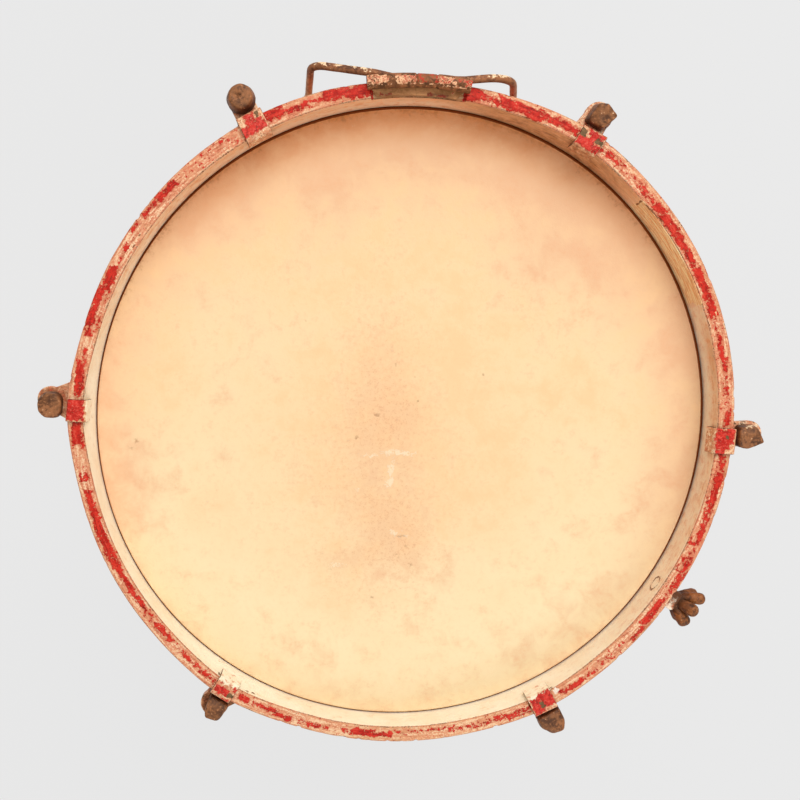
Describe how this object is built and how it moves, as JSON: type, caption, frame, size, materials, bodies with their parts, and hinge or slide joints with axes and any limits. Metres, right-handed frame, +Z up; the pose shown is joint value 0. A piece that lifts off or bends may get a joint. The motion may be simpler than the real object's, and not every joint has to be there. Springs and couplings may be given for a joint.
{
  "type": "side drum",
  "caption": "Rod-tensioned wooden side drum with tall hoops, claw hooks, skin heads, a hinged wire leg rest and a snare strainer thumbscrew, worn and without its snares.",
  "frame": {"origin": "on the floor under the middle of the drum's box, 2.4 mm from the shell's axis towards the leg rest", "axes": "+Z up along the shell, from the lower head to the snare side; +Y from the shell's axis towards the leg rest; +X through a claw and its rod, to the right of the leg rest seen from above with the leg rest at the top"},
  "size_m": [0.419, 0.3808, 0.3562],
  "materials": {
    "shell_paint": "old cream oil paint, crazed and worn",
    "skin": "scraped calfskin, mottled and scuffed",
    "bare_wood": "bare, dusty",
    "hoop_paint": "red paint worn through to cream on the rim, cream inside",
    "claw_paint": "red paint, chipped to rust at the edges",
    "rusty_steel": "rusted",
    "bracket_paint": "cream and red paint flaking from rust",
    "wire_steel": "rusted, with specks of cream paint",
    "block_paint": "cream paint, dirty",
    "screw_steel": "rusted"
  },
  "bodies": {
    "drum": {"shell": "shell_paint", "upper_head": "skin", "lower_head": "skin", "upper_flesh_hoop": "bare_wood", "lower_flesh_hoop": "bare_wood", "upper_hoop": "hoop_paint", "lower_hoop": "hoop_paint", "upper_claw_1": "claw_paint", "upper_claw_2": "claw_paint", "upper_claw_3": "claw_paint", "upper_claw_4": "claw_paint", "upper_claw_5": "claw_paint", "upper_claw_6": "claw_paint", "lower_claw_1": "claw_paint", "lower_claw_2": "claw_paint", "lower_claw_3": "claw_paint", "lower_claw_4": "claw_paint", "lower_claw_5": "claw_paint", "lower_claw_6": "claw_paint", "tension_rod_1": "rusty_steel", "tension_rod_2": "rusty_steel", "tension_rod_3": "rusty_steel", "tension_rod_4": "rusty_steel", "tension_rod_5": "rusty_steel", "tension_rod_6": "rusty_steel", "leg_rest_bracket": "bracket_paint", "snare_strainer": "block_paint"},
    "leg_rest": {"leg_rest_bail": "wire_steel"},
    "snare_screw": {"snare_thumbscrew": "screw_steel"}
  },
  "joints": [
    {"name": "leg_rest_hinge", "type": "hinge", "parent": "drum", "child": "leg_rest", "pos_m": [-0.00228, 0.1841, 0.3523], "axis": [0.9999, 0.0122, 0], "range_deg": [-3.5, 235]},
    {"name": "snare_screw_turn", "type": "hinge", "parent": "drum", "child": "snare_screw", "pos_m": [0.1732, -0.10239, 0.3317], "axis": [0.866, -0.5, 0], "continuous": true}
  ]
}
